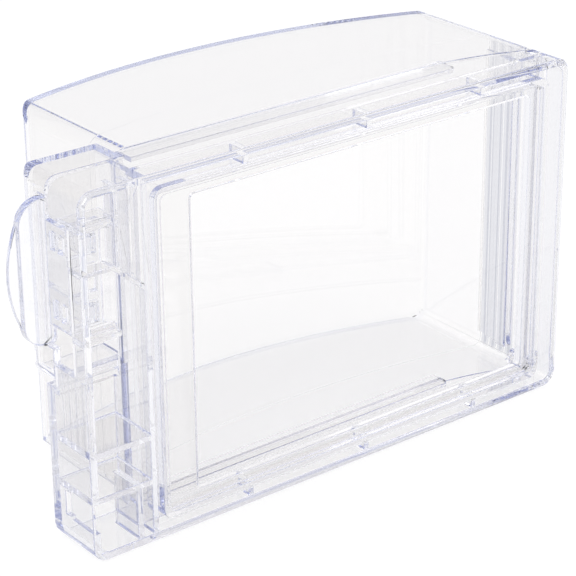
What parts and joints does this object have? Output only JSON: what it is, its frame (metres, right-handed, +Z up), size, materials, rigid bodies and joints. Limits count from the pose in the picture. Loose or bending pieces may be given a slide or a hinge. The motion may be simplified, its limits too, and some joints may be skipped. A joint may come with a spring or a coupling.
{
  "type": "bathroom socket cover",
  "caption": "Clear splash-proof cover for a bathroom socket: a back frame round the socket plate, a deep bowed lid on a side hinge, and a push button with a half-moon thumb tab.",
  "frame": {"origin": "On the ground, under the middle of the bounding box, with the cover standing on its long side.", "axes": "+X runs along the length from the latch end to the hinge end, +Y from the wall side to the bowed front, +Z up."},
  "size_m": [0.1846, 0.0786, 0.108],
  "materials": {
    "clear_frame": "clear gloss",
    "clear_lid": "clear gloss",
    "clear_button": "clear gloss"
  },
  "bodies": {
    "frame": {"back_frame": "clear_frame"},
    "cover": {"lid": "clear_lid"},
    "button": {"latch_button": "clear_button"}
  },
  "joints": [
    {"name": "lid_hinge", "type": "hinge", "parent": "frame", "child": "cover", "pos_m": [0.0893, -0.02525, 0.054], "axis": [0, 0, -1], "range_deg": [0, 95]},
    {"name": "button_slide", "type": "slide", "parent": "frame", "child": "button", "axis": [1, 0, 0], "range_m": [0, 0.0025], "stiffness_N_per_m": 800}
  ]
}
